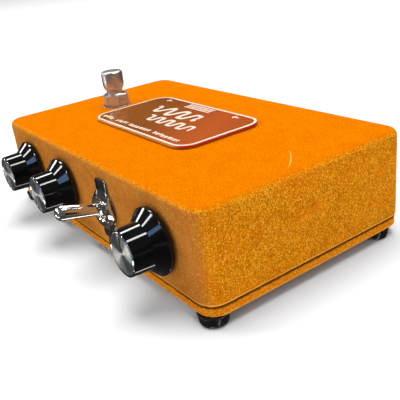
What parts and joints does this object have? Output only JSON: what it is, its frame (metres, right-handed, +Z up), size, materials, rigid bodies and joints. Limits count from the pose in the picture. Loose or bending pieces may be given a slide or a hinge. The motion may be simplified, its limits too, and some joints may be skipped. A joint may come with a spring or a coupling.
{
  "type": "guitar effects pedal",
  "caption": "Flocked two-piece effects pedal with skirted rotary knobs, a toggle switch, a footswitch, an acrylic plate and rear plug sockets, fully fitted inside.",
  "frame": {"origin": "centre of the housing's footprint, on the floor the rubber feet stand on", "axes": "+X runs left to right as the player reads the plate on top, +Y points to the rear socket face, +Z is up"},
  "size_m": [0.165, 0.122, 0.0601],
  "materials": {
    "flock_shell": "short orange flock on a painted metal housing",
    "flock_base": "short orange flock",
    "foot_rubber": "glossy black moulded rubber",
    "zinc_steel": "zinc plated",
    "amber_acrylic": "polished translucent amber sheet",
    "adhesive": "thin transfer adhesive",
    "can_steel": "drawn, plated",
    "zinc_alloy": "die cast, plated",
    "phenolic": "paper phenolic",
    "terminal_brass": "tinned",
    "nickel_brass": "nickel plated",
    "indicator_plate": "dark bright plated",
    "chrome_plate": "polished chrome",
    "switch_plastic": "blue moulded thermoset",
    "spring_steel": "tempered strip and wire",
    "black_plastic": "moulded",
    "board": "glass epoxy laminate",
    "cap_sleeve": "shrink sleeve",
    "film_cap": "dipped epoxy",
    "resistor_ceramic": "lacquered",
    "diode_glass": "glass bead",
    "battery_jacket": "lithographed steel jacket, plain",
    "wire_pvc": "pvc insulation",
    "shaft_aluminium": "turned",
    "knob_plastic": "polished black",
    "spun_aluminium": "spun face",
    "set_screw": "black oxide"
  },
  "bodies": {
    "housing": {"top_shell": "flock_shell", "base_plate": "flock_base", "rubber_feet": "foot_rubber", "base_screws": "zinc_steel", "nameplate": "amber_acrylic", "nameplate_adhesive": "adhesive", "pot_cans": "can_steel", "pot_bushings": "zinc_alloy", "pot_wafers": "phenolic", "pot_lugs": "terminal_brass", "pot_nuts": "nickel_brass", "pot_washers": "nickel_brass", "toggle_plate": "indicator_plate", "toggle_nut": "chrome_plate", "toggle_bushing": "chrome_plate", "toggle_body": "phenolic", "toggle_lugs": "terminal_brass", "footswitch_washer": "chrome_plate", "footswitch_nut": "chrome_plate", "switch_back_nuts": "chrome_plate", "footswitch_bushing": "chrome_plate", "footswitch_body": "switch_plastic", "footswitch_spring": "spring_steel", "footswitch_lugs": "terminal_brass", "input_jack": "nickel_brass", "output_jack": "nickel_brass", "jack_washers": "nickel_brass", "jack_nuts": "nickel_brass", "jack_contacts": "spring_steel", "dc_jack": "black_plastic", "dc_jack_pin": "nickel_brass", "dc_jack_nut": "black_plastic", "main_pcb": "board", "pcb_standoffs": "zinc_alloy", "pcb_screws": "zinc_steel", "transistors": "black_plastic", "electrolytic_capacitors": "cap_sleeve", "film_capacitors": "film_cap", "resistors": "resistor_ceramic", "diodes": "diode_glass", "battery": "battery_jacket", "battery_snap": "black_plastic", "battery_clip": "spring_steel", "battery_leads": "wire_pvc", "wires": "wire_pvc"},
    "left_control": {"pot_shaft_left": "shaft_aluminium", "knob_left": "knob_plastic", "knob_insert_left": "spun_aluminium", "knob_set_screw_left": "set_screw"},
    "middle_control": {"pot_shaft_middle": "shaft_aluminium", "knob_middle": "knob_plastic", "knob_insert_middle": "spun_aluminium", "knob_set_screw_middle": "set_screw"},
    "right_control": {"pot_shaft_right": "shaft_aluminium", "knob_right": "knob_plastic", "knob_insert_right": "spun_aluminium", "knob_set_screw_right": "set_screw"},
    "toggle_lever_body": {"toggle_lever": "chrome_plate"},
    "toggle_contact": {"toggle_rocker": "terminal_brass"},
    "footswitch_button": {"footswitch_plunger": "chrome_plate"}
  },
  "joints": [
    {"name": "left_knob_turn", "type": "hinge", "parent": "housing", "child": "left_control", "pos_m": [-0.0531, -0.0476, 0.0248], "axis": [0, -1, 0], "range_deg": [-150, 150]},
    {"name": "middle_knob_turn", "type": "hinge", "parent": "housing", "child": "middle_control", "pos_m": [-0.0169, -0.0476, 0.0248], "axis": [0, -1, 0], "range_deg": [-150, 150]},
    {"name": "right_knob_turn", "type": "hinge", "parent": "housing", "child": "right_control", "pos_m": [0.0559, -0.0476, 0.0248], "axis": [0, -1, 0], "range_deg": [-150, 150]},
    {"name": "toggle_throw", "type": "hinge", "parent": "housing", "child": "toggle_lever_body", "pos_m": [0.0193, -0.04705, 0.0248], "axis": [1, 0, 0], "range_deg": [0, 28]},
    {"name": "toggle_contact_rock", "type": "hinge", "parent": "housing", "child": "toggle_contact", "pos_m": [0.0193, -0.035, 0.0248], "axis": [1, 0, 0], "range_deg": [-20, 0]},
    {"name": "footswitch_press", "type": "slide", "parent": "housing", "child": "footswitch_button", "axis": [0, 0, -1], "range_m": [0, 0.0015], "deforming": ["footswitch_spring"]}
  ],
  "couplings": [
    {"joint": "toggle_contact_rock", "follows": "toggle_throw", "ratio": -0.71429}
  ]
}
